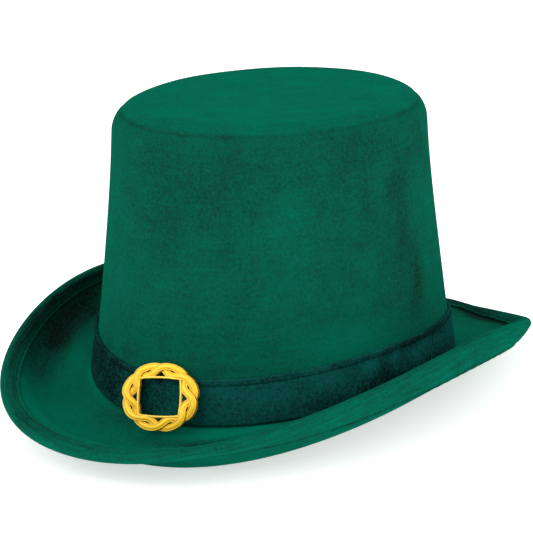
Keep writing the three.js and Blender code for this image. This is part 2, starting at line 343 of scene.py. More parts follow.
@dataclass(frozen=True)
class HatForm:
    """Sizes that the pieces share, as the solids have them."""

    crown_top: float = 155.0
    foot_front: float = 101.7
    foot_side: float = 93.9
    tip_front: float = 86.1
    tip_side: float = 74.8
    waist: float = 2.3
    edge_radius: float = 14.5
    wall: float = 2.0
    band_low: float = 11.2
    band_rise: float = 9.4
    band_height: float = 22.6
    band_thick: float = 1.2
    band_lift: float = 0.5
    fold_height: float = 3.0
    fold_swell: float = 0.5
    brim_thick: float = 2.4
    brim_fillet: float = 4.0
    collar_height: float = 10.0
    hem_top: float = 9.4
    hem_under: float = 13.0
    hem_core: float = 3.4
    hem_half: float = 3.0
    hem_skin: float = 1.0
    gap: float = 0.3

    def halves(self, z: np.ndarray) -> tuple[np.ndarray, np.ndarray]:
        """Half length and half width of the crown at a height.

        With s the height over the crown's, each goes evenly from its foot to its tip, less
        the waist times 4 s (1 - s).

        Args:
            z: Heights.

        Returns:
            Half lengths front to back, and half widths side to side.
        """
        share = z / self.crown_top
        drawn_in = self.waist * 4.0 * share * (1.0 - share)
        front = self.foot_front + (self.tip_front - self.foot_front) * share - drawn_in
        side = self.foot_side + (self.tip_side - self.foot_side) * share - drawn_in
        return front, side

    def oval(self, turn: np.ndarray, z: np.ndarray, offset: np.ndarray) -> np.ndarray:
        """Points of the crown's oval, moved out by an offset.

        x is the half width plus the offset times the sine of the turn, and y minus the half
        length plus the offset times its cosine.

        Args:
            turn: Turns in radians.
            z: Heights.
            offset: Distances out of the oval.

        Returns:
            Points, with their coordinates last.
        """
        front, side = self.halves(z)
        x = (side + offset) * np.sin(turn)
        y = -(front + offset) * np.cos(turn)
        return np.stack(np.broadcast_arrays(x, y, z), axis=-1)

    def band_foot(self, turn: np.ndarray) -> np.ndarray:
        """Height of the band's lower edge, which rises with the square of the turn's sine."""
        return self.band_low + self.band_rise * np.sin(turn) ** 2

    def fillet_height(self, turn: np.ndarray) -> np.ndarray:
        """Height of the centre of the brim's fillet, where the crown's wall ends."""
        below = self.brim_fillet - self.brim_thick / 2.0 - self.band_lift
        return self.band_foot(turn) + below

    def hem_lift(self, inset: np.ndarray, width: float) -> np.ndarray:
        """Lift of one side of the hem, which swells from its edge to the roll.

        It goes from the slot and the cloth's skin to half the hem's thickness in a soft step.

        Args:
            inset: Insets from the rim.
            width: Width of that side.

        Returns:
            Lifts out of the brim's sheet.
        """
        edge = self.brim_thick / 2.0 + self.gap + self.hem_skin
        share = (width - inset) / (width - self.hem_half)
        return edge + (self.hem_half - edge) * smooth_step(share, 0.0, 1.0)


@dataclass(frozen=True)
class BrimSlopes:
    """How one upright section of the brim leaves the fillet and meets the rim."""

    leave_slope: float
    rim_slope: float
    leave_pull: float
    rim_pull: float

    def values(self) -> np.ndarray:
        """The four values as one row, with the slopes in radians."""
        slopes = np.radians([self.leave_slope, self.rim_slope])
        return np.array([*slopes, self.leave_pull, self.rim_pull])


@dataclass(frozen=True)
class RimForm:
    """Sizes of the brim's rim and of its sections, as the solids have them."""

    half_length: float = 160.8
    half_width: float = 117.9
    squareness: float = 2.08
    front_height: float = 13.9
    back_height: float = 2.6
    side_height: float = 45.3
    quarter_lift: float = 2.7
    curl_spread: float = 1.95
    rest_blend: float = 0.6
    rest_inset: float = 13.0
    front: BrimSlopes = BrimSlopes(-33.0, -4.0, 0.79, 0.62)
    side: BrimSlopes = BrimSlopes(16.5, 95.0, 1.03, 0.2)
    back: BrimSlopes = BrimSlopes(-11.5, 18.0, 0.7, 0.22)

    def points(self, turn: np.ndarray) -> np.ndarray:
        """Points of the rim.

        The plan is a superellipse. The height goes from back to front with the cosine, to the
        side's with the square of the sine, plus the quarter lift times the square of the sine
        of twice the turn.

        Args:
            turn: Turns in radians.

        Returns:
            Points, with their coordinates last.
        """
        sine, cosine = np.sin(turn), np.cos(turn)
        power = self.squareness
        across = (np.abs(sine) / self.half_width) ** power
        along = (np.abs(cosine) / self.half_length) ** power
        radius = (across + along) ** (-1.0 / power)
        ends = self.back_height + (self.front_height - self.back_height) * (1.0 + cosine) / 2.0
        z = ends + (self.side_height - ends) * sine**2
        z = z + self.quarter_lift * np.sin(2.0 * turn) ** 2
        return np.stack([radius * sine, -radius * cosine, z], axis=-1)

    def slopes(self, turn: np.ndarray) -> np.ndarray:
        """Section values at each turn, from the front's or back's to the side's.

        Args:
            turn: Turns in radians.

        Returns:
            Rows of four values, one for each turn.
        """
        ahead = np.cos(turn)[:, None] > 0.0
        ends = np.where(ahead, self.front.values(), self.back.values())
        share = (np.abs(np.sin(turn)) ** self.curl_spread)[:, None]
        return ends + (self.side.values() - ends) * share


class BrimSheet:
    """The middle of the brim's sheet: one path in each upright section, from fillet to rim."""

    SAMPLES: ClassVar[int] = 161

    def __init__(self, form: HatForm, rim: RimForm, turn: np.ndarray) -> None:
        """Works out the paths.

        Each is a cubic Bezier curve that leaves the fillet at one slope and meets the rim at
        another, with arms that are shares of the straight distance. Where it would lie under
        the floor it is flattened onto it.

        Args:
            form: Sizes of crown and fillet.
            rim: Sizes of the rim and the sections.
            turn: The sections' turns in radians.
        """
        self.form = form
        self.turn = turn
        self.height = form.fillet_height(turn)
        self.base = form.oval(turn, self.height, np.zeros_like(turn))
        edge = rim.points(turn)
        level = (edge - self.base)[:, :2]
        reach = np.linalg.norm(level, axis=1)
        self.out = unit(level)
        self.collar = form.wall + form.gap + form.brim_thick / 2.0
        self.centre = form.brim_fillet - self.collar
        self.leave, arrive, leave_pull, rim_pull = rim.slopes(turn).T

        start = self._arc(self.leave)
        end = np.stack([reach, edge[:, 2]], axis=-1)
        straight = np.linalg.norm(end - start, axis=1)
        leaving = np.stack([np.cos(self.leave), np.sin(self.leave)], axis=-1)
        arriving = np.stack([np.cos(arrive), np.sin(arrive)], axis=-1)
        first = start + (straight * leave_pull)[:, None] * leaving
        second = end - (straight * rim_pull)[:, None] * arriving
        share = np.linspace(0.0, 1.0, self.SAMPLES)[:, None, None]
        rest = 1.0 - share
        path = rest**3 * start + 3.0 * rest**2 * share * first
        path = path + 3.0 * rest * share**2 * second + share**3 * end
        steps = np.linalg.norm(np.diff(path, axis=0), axis=2)
        self.run = np.vstack([np.zeros(len(turn)), np.cumsum(steps, axis=0)])
        self.length = self.run[-1]
        self.path = self._flattened(path, self.length - self.run, rim)
        self.way = unit(np.gradient(self.path, axis=0))

    def _arc(self, slope: np.ndarray) -> np.ndarray:
        """Points of the fillet, which is part of a circle about its centre.

        Args:
            slope: Slopes of the sheet there, from -90 degrees, which is straight down.

        Returns:
            Section points, out and up.
        """
        radius = self.form.brim_fillet
        out = self.centre + radius * np.sin(slope)
        return np.stack([out, self.height - radius * np.cos(slope)], axis=-1)

    def _flattened(self, path: np.ndarray, inset: np.ndarray, rim: RimForm) -> np.ndarray:
        """Lays the parts of the paths that are too low onto the floor.

        The lowest height goes from half the hem's thickness to half the sheet's further in.
        A little above it the height bends over: the floor plus the square of the height above
        it and the blend, over four blends.

        Args:
            path: Points of the paths, out and up.
            inset: Their insets from the rim.
            rim: Sizes of the rim.

        Returns:
            The path's points with their new heights.
        """
        share = smooth_step(inset, rim.rest_inset, 2.0 * rim.rest_inset)
        hem = self.form.hem_half
        floor = hem + (self.form.brim_thick / 2.0 - hem) * share
        above = path[..., 1] - floor
        blend = rim.rest_blend
        low = floor + np.maximum(above + blend, 0.0) ** 2 / (4.0 * blend)
        height = np.where(above > blend, path[..., 1], low)
        return np.stack([path[..., 0], height], axis=-1)

    def _to_space(self, section: np.ndarray) -> np.ndarray:
        """Points in space of section points, out and up, in the columns' upright planes."""
        level = self.base[:, :2] + self.out * section[..., :1]
        return np.concatenate([level, section[..., 1:]], axis=-1)

    def sheet(self, inset: np.ndarray, lift: np.ndarray) -> np.ndarray:
        """Points of the sheet, moved along its upper normal.

        Args:
            inset: Insets from the rim, as rows of sections' columns.
            lift: Distances out of the sheet, laid out in the same way.

        Returns:
            Points in space, laid out in the same way.
        """
        inset, lift = np.broadcast_arrays(inset, lift)
        wanted = self.length - inset
        below = (self.run[None] <= wanted[:, None]).sum(axis=1) - 1
        low = np.clip(below, 0, self.SAMPLES - 2)
        column = np.arange(len(self.turn))[None]
        start, stop = self.run[low, column], self.run[low + 1, column]
        share = ((wanted - start) / (stop - start))[..., None]
        point = self.path[low, column] * (1.0 - share) + self.path[low + 1, column] * share
        way = self.way[low, column] * (1.0 - share) + self.way[low + 1, column] * share
        normal = np.stack([-way[..., 1], way[..., 0]], axis=-1)
        return self._to_space(point + normal * lift[..., None])

    def throat(self, share: np.ndarray, lift: np.ndarray) -> np.ndarray:
        """Points of the collar and the fillet, moved along the upper normal.

        The share goes from 0 at the collar's top to 1 where it meets the fillet, and on to 2
        where the fillet turns into the sheet.

        Args:
            share: Shares of the way, one for each row.
            lift: Distances out of the sheet, one for each row.

        Returns:
            Points in space, as rows of columns.
        """
        share, lift = share[:, None], lift[:, None]
        down = -math.pi / 2.0
        slope = down + (self.leave - down) * np.clip(share - 1.0, 0.0, 1.0)
        arc = self._arc(slope)
        high = self.height + self.form.collar_height
        top = self.form.oval(self.turn, high, np.full_like(high, -self.collar)) - self.base
        top_out = (top[:, :2] * self.out).sum(axis=1)
        up = np.clip(1.0 - share, 0.0, 1.0)
        out = arc[..., 0] + (top_out - (self.centre - self.form.brim_fillet)) * up
        height = arc[..., 1] + self.form.collar_height * up
        normal = np.stack([-np.sin(slope), np.cos(slope)], axis=-1)
        return self._to_space(np.stack([out, height], axis=-1) + normal * lift[..., None])


# Finishes


class NodeBoard:
    """Puts shader nodes on a new material and joins them."""

    def __init__(self, name: str) -> None:
        """Starts an empty material.

        Args:
            name: The material's name.
        """
        self.material = bpy.data.materials.new(name)
        self.material.use_nodes = True
        self.tree = self.material.node_tree
        self.tree.nodes.clear()

    def add(
        self, kind: str, inputs: dict[str | int, object] | None = None, **settings: object
    ) -> bpy.types.Node:
        """Adds a node.

        Args:
            kind: The node's Blender type.
            inputs: Values or sockets for its inputs.
            **settings: The node's own properties.

        Returns:
            The node.
        """
        node = self.tree.nodes.new(kind)
        for label, value in settings.items():
            setattr(node, label, value)
        for label, value in (inputs or {}).items():
            if isinstance(value, bpy.types.NodeSocket):
                self.tree.links.new(value, node.inputs[label])
            else:
                node.inputs[label].default_value = value
        return node

    def place(self) -> bpy.types.NodeSocket:
        """The piece's object coordinates, in metres."""
        return self.add("ShaderNodeTexCoord").outputs["Object"]

    def point_value(self, name: Field) -> bpy.types.NodeSocket:
        """A value that the piece's points carry."""
        return self.add("ShaderNodeAttribute", attribute_name=name.value).outputs["Fac"]

    def cloth_place(self, stretch: float) -> bpy.types.NodeSocket:
        """Places on the cloth, drawn out along the turn.

        Args:
            stretch: How many times longer a pattern gets along the turn.

        Returns:
            The coordinates' socket.
        """
        lay = self.add("ShaderNodeAttribute", attribute_name=Field.LAY.value)
        scale = (1.0 / stretch, 1.0 / stretch, 1.0)
        mapping = self.add("ShaderNodeMapping", {"Vector": lay.outputs["Vector"], "Scale": scale})
        return mapping.outputs["Vector"]

    def noise(
        self, place: bpy.types.NodeSocket, grain: float, detail: float, rough: float = 0.55
    ) -> bpy.types.NodeSocket:
        """Noise around one half.

        Args:
            place: Coordinates in metres.
            grain: Size of its largest features in millimetres.
            detail: How many finer octaves it has.
            rough: How strong the finer ones are.

        Returns:
            Its value socket.
        """
        scale = 1.0 / (grain * MM)
        values = {"Vector": place, "Scale": scale, "Detail": detail, "Roughness": rough}
        return self.add("ShaderNodeTexNoise", values).outputs["Fac"]

    def math(self, operation: str, *values: object, clamp: bool = False) -> bpy.types.NodeSocket:
        """Adds a Math node.

        Args:
            operation: What it does.
            *values: Its values or sockets, in order.
            clamp: Whether the result is held between 0 and 1.

        Returns:
            Its result.
        """
        inputs = dict(enumerate(values))
        node = self.add("ShaderNodeMath", inputs, operation=operation, use_clamp=clamp)
        return node.outputs[0]

    def swing(self, noise: bpy.types.NodeSocket, strength: float) -> bpy.types.NodeSocket:
        """Noise moved to around zero and scaled, so that it swings by about the strength."""
        level = self.math("SUBTRACT", noise, 0.5)
        return self.math("MULTIPLY", level, 2.0 * strength)

    def above(self, level: bpy.types.NodeSocket, start: float, gain: float) -> bpy.types.NodeSocket:
        """How far a level is over a start, times a gain, and held between 0 and 1."""
        return self.math("MULTIPLY", self.math("SUBTRACT", level, start), gain, clamp=True)

    def total(self, *parts: object) -> bpy.types.NodeSocket:
        """The sum of several values or sockets.

        Args:
            *parts: The values or sockets.

        Returns:
            The sum's socket.
        """
        result = parts[0]
        for part in parts[1:]:
            result = self.math("ADD", result, part)
        return result

    def blend(
        self, share: bpy.types.NodeSocket, low: object, high: object
    ) -> bpy.types.NodeSocket:
        """A colour from low to high by a share.

        Args:
            share: The share, held between 0 and 1.
            low: The colour at 0, or its socket.
            high: The colour at 1, or its socket.

        Returns:
            The colour's socket.
        """
        values = {
            0: share,
            6: (*low, 1.0) if isinstance(low, tuple) else low,
            7: (*high, 1.0) if isinstance(high, tuple) else high,
        }
        node = self.add("ShaderNodeMix", values, data_type="RGBA", clamp_factor=True)
        return node.outputs[2]

    def bump(
        self, height: bpy.types.NodeSocket, depth: float, strength: float = 1.0
    ) -> bpy.types.NodeSocket:
        """A bumped normal for heights from 0 to 1 that stand for a depth in millimetres."""
        values = {"Height": height, "Distance": depth * MM, "Strength": strength}
        return self.add("ShaderNodeBump", values).outputs["Normal"]

    def finish(self, inputs: dict[str, object]) -> bpy.types.Material:
        """Adds the shader and the output.

        Args:
            inputs: Values or sockets for the shader's inputs.

        Returns:
            The finished material.
        """
        shader = self.add("ShaderNodeBsdfPrincipled", inputs)
        self.add("ShaderNodeOutputMaterial", {"Surface": shader.outputs["BSDF"]})
        return self.material


@dataclass(frozen=True)
class Velour:
    """Napped velour: patches of pile that lie another way, a fine grain, and a soft sheen."""

    name: str
    deep: Color
    bright: Color
    sheen_tint: Color
    level: float = 0.66
    patch: float = 0.14
    mottle: float = 0.2
    grain: float = 0.54
    streak: float = 0.12
    patch_size: float = 46.0
    mottle_size: float = 13.0
    pile_size: float = 1.5
    fibre_size: float = 0.5
    streak_size: float = 1.6
    streak_stretch: float = 14.0
    grain_fade: float = 0.5
    fibre_share: float = 0.4
    roughness: float = 0.82
    roughness_swing: float = 0.1
    sheen: float = 0.06
    sheen_roughness: float = 0.4
    pile_depth: float = 0.3
    pile_bump: float = 0.6
    fibre_bump: float = 0.3
    streak_bump: float = 0.1

    def material(self) -> bpy.types.Material:
        """Builds the material.

        A brightness goes from the deep to the bright colour. It is a level plus wide noise for
        patches of pile, closer noise for mottling and fine streaks along the cloth, less the
        points' crushed pile and painted shade (painted highlight where negative), plus noise for
        the pile's grain and its fibres, less the points' darkness at seams and painted shade in
        creases, grooves and valleys (painted highlight where negative). The grain is stronger
        where the pile is darker. Pile, fibres and streaks together make the bump.

        Returns:
            The material.
        """
        board = NodeBoard(self.name)
        place = board.place()
        crush = board.point_value(Field.CRUSH_AND_SHADE)
        seam = board.point_value(Field.SEAM_AND_SHADE)
        patch = board.swing(board.noise(place, self.patch_size, 2.0), self.patch)
        mottle = board.swing(board.noise(place, self.mottle_size, 4.0, 0.6), self.mottle)
        pile = board.noise(place, self.pile_size, 3.0, 0.7)
        fibre = board.noise(place, self.fibre_size, 2.0, 0.6)
        streak = board.noise(board.cloth_place(self.streak_stretch), self.streak_size, 3.0, 0.6)
        slow = board.total(self.level, patch, mottle, board.swing(streak, self.streak))
        slow = board.math("SUBTRACT", slow, crush)
        shade = board.math("SUBTRACT", 1.0, board.math("MULTIPLY", slow, self.grain_fade))
        grain = board.math("MULTIPLY", board.swing(pile, self.grain), shade)
        fine = board.swing(fibre, self.fibre_share * self.grain)
        value = board.math("SUBTRACT", board.total(slow, grain, fine), seam, clamp=True)
        color = board.blend(value, self.deep, self.bright)
        height = board.total(
            board.math("MULTIPLY", pile, self.pile_bump),
            board.math("MULTIPLY", fibre, self.fibre_bump),
            board.math("MULTIPLY", streak, self.streak_bump + self.streak),
        )
        rough = board.math("ADD", self.roughness, board.swing(pile, self.roughness_swing))
        return board.finish(
            {
                "Base Color": color,
                "Roughness": rough,
                "Specular IOR Level": 0.0,
                "Sheen Weight": self.sheen,
                "Sheen Roughness": self.sheen_roughness,
                "Sheen Tint": (*self.sheen_tint, 1.0),
                "Normal": board.bump(height, self.pile_depth),
            }
        )


@dataclass(frozen=True)
class Gold:
    """Bright yellow plating on cast metal, with darker metal left in the grooves."""

    name: str = "bright_gold"
    plate: Color = (1.0, 0.6, 0.012)
    groove: Color = (0.36, 0.13, 0.004)
    worn: Color = (1.0, 0.76, 0.16)
    plate_from: float = 0.16
    plate_gain: float = 3.2
    worn_from: float = 0.82
    worn_gain: float = 4.0
    cloud_size: float = 6.0
    cloud_swing: float = 0.12
    cast_size: float = 0.4
    cast_depth: float = 0.03
    cast_strength: float = 0.5
    metal: float = 0.2
    roughness: float = 0.4
    cloud_roughness: float = 0.1
    cast_roughness: float = 0.05

    def material(self) -> bpy.types.Material:
        """Builds the material.

        The crest value of the points goes from 0 in a groove to 1 on a rib, and a slow noise
        shifts it. From one level on the groove's colour goes over to the plate's, and from a
        higher one the plate's to the worn one, each at its own gain. The slow noise and a fine
        one vary the roughness, and the fine one makes the cast surface.

        Returns:
            The material.
        """
        board = NodeBoard(self.name)
        place = board.place()
        crest = board.point_value(Field.CREST)
        cloud = board.noise(place, self.cloud_size, 3.0)
        cast = board.noise(place, self.cast_size, 2.0)
        level = board.math("ADD", crest, board.swing(cloud, self.cloud_swing))
        color = board.blend(
            board.above(level, self.plate_from, self.plate_gain), self.groove, self.plate
        )
        color = board.blend(board.above(level, self.worn_from, self.worn_gain), color, self.worn)
        rough = board.total(
            self.roughness,
            board.swing(cloud, self.cloud_roughness),
            board.swing(cast, self.cast_roughness),
        )
        return board.finish(
            {
                "Base Color": color,
                "Metallic": self.metal,
                "Roughness": rough,
                "Normal": board.bump(cast, self.cast_depth, self.cast_strength),
            }
        )


@dataclass(frozen=True)
class Thread:
    """Sewing thread of two twisted yarns."""

    name: str
    color: Color
    shadow: Color
    twist_size: float = 0.35
    twist_depth: float = 0.05
    roughness: float = 0.75
    gloss: float = 0.1

    def material(self) -> bpy.types.Material:
        """Builds the material: fine noise stands for the yarns' twist and their fibres.

        Returns:
            The material.
        """
        board = NodeBoard(self.name)
        twist = board.noise(board.place(), self.twist_size, 2.0)
        return board.finish(
            {
                "Base Color": board.blend(twist, self.shadow, self.color),
                "Roughness": self.roughness,
                "Specular IOR Level": self.gloss,
                "Normal": board.bump(twist, self.twist_depth),
            }
        )


@dataclass(frozen=True)
class PaleFloor:
    """Matt pale studio board with a faint unevenness."""

    name: str = "pale_floor"
    color: Color = (0.93, 0.93, 0.93)
    shade: Color = (0.9, 0.9, 0.9)
    cloud_size: float = 400.0
    roughness: float = 0.9
    glow: float = 0.6

    def material(self) -> bpy.types.Material:
        """Builds the material: slow noise goes between two pale greys.

        The board glows a little, which keeps the shadow on it light.

        Returns:
            The material.
        """
        board = NodeBoard(self.name)
        cloud = board.noise(board.place(), self.cloud_size, 2.0)
        color = board.blend(cloud, self.shade, self.color)
        return board.finish(
            {
                "Base Color": color,
                "Roughness": self.roughness,
                "Emission Color": color,
                "Emission Strength": self.glow,
            }
        )


# Pieces


@dataclass
class Crown:
    """The moulded crown: a tapering oval wall, a rounded edge with a pressed line, a flat tip."""

    form: HatForm
    columns: int = 360
    tip_rows: int = 22
    edge_rows: int = 22
    wall_rows: int = 64
    covered_rows: int = 8
    inner_rows: int = 30
    wave: float = 0.45
    tip_sag: float = 0.8
    crease_slope: float = 45.0
    crease_spread: float = 5.0
    crease_depth: float = 0.5
    # Painted shade in the pressed line.
    crease_shade: float = 0.3
    tip_hole: float = 0.04
    inner_tip_hole: float = 0.05
    # Painted shade: the wall under the rounded edge is darker than the tip.
    wall_shade: float = 0.13
    dark_depth: tuple[float, float] = (6.5, 3.8)
    inner_crush: float = 0.1
    # Patches of brushed pile and of painted shade and highlight on the wall; negative depths are
    # brighter.
    patches: tuple[NapAndShadePatch, ...] = nap_and_shade_rows(
        (3, 92, 5, 6, 0.1), (15, 131, 28, 16, 0.08), (58, 119, 4, 6, 0.09),
        (75, 115, 4, 6, 0.14), (87, 116, 5, 9, 0.14), (91, 90, 4, 10, 0.18),
        (97, 71, 3.5, 18, 0.22), (106, 136, 8, 14, 0.16), (50, 110, 14, 18, -0.06),
        (84, 92, 16, 36, 0.08), (60, 46, 14, 9, -0.24), (76, 47, 12, 9, -0.14),
        (50, 91, 4, 6, -0.12), (44, 73, 8, 8, -0.1), (17, 137, 7, 6, -0.1),
        (74, 142, 9, 9, 0.16), (62, 136, 9, 10, 0.1), (92, 118, 6, 16, 0.16),
        (93, 56, 5, 14, 0.14), (65, 94, 8, 10, 0.1), (34, 134, 8, 14, 0.1),
        (24, 117, 4, 5, 0.13), (24, 40, 6, 6, 0.16), (2, 108, 12, 5, 0.13),
        (-2, 142, 6, 7, 0.14), (-18, 99, 8, 14, -0.06), (-19, 64, 8, 12, -0.06),
        (200, 90, 30, 34, 0.12), (280, 70, 22, 30, 0.1),
    )

    def _outside(self, turn: np.ndarray) -> tuple[np.ndarray, np.ndarray, np.ndarray]:
        """Rings of the outside, from the tip's middle to the wall's foot.

        On the tip the oval at the start of the rounded edge is drawn in evenly. On the edge
        the slope goes from 90 degrees to 0 round its radius. On the wall the height goes to
        the band's top and on to the foot.

        Args:
            turn: Turns of the columns in radians.

        Returns:
            The rings, their darkness from crushed pile and painted shade, and the pressed line's
            painted shade.
        """
        form = self.form
        radius = form.edge_radius
        share = np.linspace(self.tip_hole, 1.0, self.tip_rows)[:, None]
        start = form.oval(turn, np.full_like(turn, form.crown_top), np.full_like(turn, -radius))
        tip = start[None] * np.stack([share, share, np.ones_like(share)], axis=-1)
        uneven = ripple(turn, 90.0 * share, Ripple.TIP) * share
        tip[..., 2] += uneven * self.wave - self.tip_sag * (1.0 - share**2)

        slope = np.radians(np.linspace(90.0, 0.0, self.edge_rows + 1)[1:])[:, None]
        z = form.crown_top - radius + radius * np.sin(slope)
        inward = radius - radius * np.cos(slope)
        worn = 0.75 + 0.25 * ripple(turn, z, Ripple.CREASE)
        pressed = bell(np.degrees(slope), self.crease_slope, self.crease_spread) * worn
        uneven = ripple(turn, z, Ripple.WALL) * self.wave
        dent = uneven * np.cos(slope) - self.crease_depth * pressed
        edge = form.oval(turn, z + dent * np.sin(slope), dent * np.cos(slope) - inward)

        band_top = form.band_foot(turn) + form.band_height
        top = form.crown_top - radius
        down = np.linspace(0.0, 1.0, self.wall_rows + 1)[1:, None]
        height = top + (band_top - top) * down
        fade = 1.0 - smooth_step(down, 0.82, 1.0)
        uneven = ripple(turn, height, Ripple.WALL) * self.wave
        wall = form.oval(turn, height, uneven * fade)

        foot = form.fillet_height(turn)
        under = np.linspace(0.0, 1.0, self.covered_rows + 1)[1:, None]
        hidden = form.oval(turn, band_top + (foot - band_top) * under, np.zeros_like(under))
        rings = np.concatenate([tip, edge, wall, hidden])

        heights = rings[..., 2]
        # Painted shade: the wall under the rounded edge is darker than the tip, along with the
        # patches.
        low, high = (form.crown_top - depth for depth in self.dark_depth)
        upright = 1.0 - smooth_step(heights, low, high)
        crush = (patched(self.patches, turn, heights) + self.wall_shade) * upright
        seam = np.zeros_like(heights)
        # Painted shade in the pressed line between tip and wall.
        seam[self.tip_rows : self.tip_rows + self.edge_rows] = pressed * self.crease_shade
        return rings, crush, seam

    def _inside(self, turn: np.ndarray) -> np.ndarray:
        """Rings of the inside, a wall's thickness in, from the foot to the tip's underside.

        They follow the outside's own formulas, without the unevenness.

        Args:
            turn: Turns of the columns in radians.

        Returns:
            The rings.
        """
        form = self.form
        radius = form.edge_radius - form.wall
        foot = form.fillet_height(turn)
        top = form.crown_top - form.edge_radius
        up = np.linspace(0.0, 1.0, self.inner_rows)[:, None]
        wall = form.oval(turn, foot + (top - foot) * up, np.full_like(up, -form.wall))
        slope = np.radians(np.linspace(0.0, 90.0, 9)[1:])[:, None]
        inward = form.edge_radius - radius * np.cos(slope)
        edge = form.oval(turn, top + radius * np.sin(slope), -inward)
        share = np.linspace(1.0, self.inner_tip_hole, 12)[1:, None]
        tip = edge[-1][None] * np.stack([share, share, np.ones_like(share)], axis=-1)
        tip[..., 2] -= self.tip_sag * (1.0 - share**2)
        return np.concatenate([wall, edge, tip])

    def build(self, finish: Velour) -> bpy.types.Object:
        """Builds the crown and dresses it.

        Args:
            finish: The velour.

        Returns:
            The piece.
        """
        turn = turns(self.columns)
        outside, crush, seam = self._outside(turn)
        inside = self._inside(turn)
        rings = np.concatenate([outside, inside])
        plain = np.zeros(inside.shape[:2])
        fields = {
            Field.LAY: lay_field(turn, run_of(rings), self.form.tip_front),
            Field.CRUSH_AND_SHADE: np.concatenate([crush, plain + self.inner_crush]),
            Field.SEAM_AND_SHADE: np.concatenate([seam, plain]),
        }
        surface = Surface.from_rings(rings, fields, capped=True)
        piece = surface.to_object("velour_crown", finish.material())
        return dress(piece, "crown")


@dataclass
class Brim:
    """The brim: one moulded sheet with a collar inside the crown, curled up at both sides."""

    form: HatForm
    rim: RimForm
    columns: int = 360
    collar_rows: int = 5
    fillet_rows: int = 9
    sheet_rows: int = 46
    wave: float = 0.45
    # Painted shade in the valley beside the hem's upper edge.
    valley_shade: float = 0.35
    valley_inset: float = 0.6
    valley_spread: float = 1.1
    # Patches of brushed pile and painted light: painted shadow beside the buckle and under the
    # hem's edge at the back, painted shade on the left curl, and painted highlights where the depth
    # is negative, such as on the fillet under the band.
    patches: tuple[NapAndShadePatch, ...] = nap_and_shade_rows(
        (-70, 0.66, 17, 0.32, 0.55), (-104, 0.6, 20, 0.36, 0.28), (-56, 0.6, 8, 0.2, 0.24),
        (-80, 0.7, 7, 0.12, 0.16), (-76, 0.44, 8, 0.12, 0.16), (-60, 0.46, 6, 0.12, 0.2),
        (-78, 0.9, 26, 0.08, -0.3), (-53, 0.23, 10, 0.13, -0.32), (-48, 0.78, 13, 0.2, 0.14),
        (-43, 0.62, 5, 0.18, 0.2), (-27, 0.66, 14, 0.26, -0.38), (-16, 0.36, 7, 0.14, -0.15),
        (-34, 0.03, 16, 0.05, -0.42), (-9, 0.08, 7, 0.07, 0.34), (16, 0.05, 20, 0.09, -0.85),
        (24, 0.22, 18, 0.05, 0.5), (8, 0.5, 16, 0.3, -0.12), (158, 0.7, 16, 0.3, 0.2),
        (164, 0.86, 14, 0.07, 0.5),
    )

    def _side(self, middle: BrimSheet, up: float) -> tuple[np.ndarray, np.ndarray]:
        """Rings of one side of the sheet, from the collar's top to under the hem.

        Args:
            middle: The middle of the sheet.
            up: 1 for the upper side and -1 for the lower.

        Returns:
            The rings and their shares of the way from fillet to hem.
        """
        form = self.form
        half = up * form.brim_thick / 2.0
        collar = np.linspace(0.0, 1.0, self.collar_rows, endpoint=False)
        fillet = 1.0 + np.linspace(0.0, 1.0, self.fillet_rows, endpoint=False)
        share = np.concatenate([collar, fillet])
        throat = middle.throat(share, np.full_like(share, half))
        way = np.linspace(0.0, 1.0, self.sheet_rows)[:, None]
        inner = form.hem_core + form.gap
        inset = middle.length + (inner - middle.length) * way
        fade = smooth_step(way, 0.0, 0.2) * (1.0 - smooth_step(way, 0.7, 0.85))
        high = smooth_step(middle.sheet(inset, np.zeros_like(inset))[..., 2], 2.0, 8.0)
        uneven = ripple(middle.turn, inset, Ripple.SHEET) * self.wave * fade * high
        sheet = middle.sheet(inset, half + uneven)
        place = np.concatenate([np.zeros((len(share), 1)), way])
        return np.concatenate([throat, sheet]), place

    def build(self, finish: Velour) -> bpy.types.Object:
        """Builds the brim and dresses it.

        Args:
            finish: The velour.

        Returns:
            The piece.
        """
        turn = turns(self.columns)
        middle = BrimSheet(self.form, self.rim, turn)
        upper, place = self._side(middle, 1.0)
        lower, _ = self._side(middle, -1.0)
        rings = np.concatenate([upper, lower[::-1]])
        places = np.concatenate([place, place[::-1]])
        above = np.zeros((len(rings), 1))
        above[: len(upper)] = 1.0
        edge = self.form.hem_core + self.form.gap
        inset = edge + (middle.length - edge) * (1.0 - places)
        # Painted shade in the valley beside the hem's upper edge.
        valley = bell(inset, self.form.hem_top + self.valley_inset, self.valley_spread)
        fields = {
            Field.LAY: lay_field(turn, run_of(rings), self.rim.half_width),
            Field.CRUSH_AND_SHADE: patched(self.patches, turn, places) * above,
            Field.SEAM_AND_SHADE: self.valley_shade * valley * above,
        }
        surface = Surface.from_rings(rings, fields, closed=True)
        piece = surface.to_object("velour_brim", finish.material())
        return dress(piece, "brim")


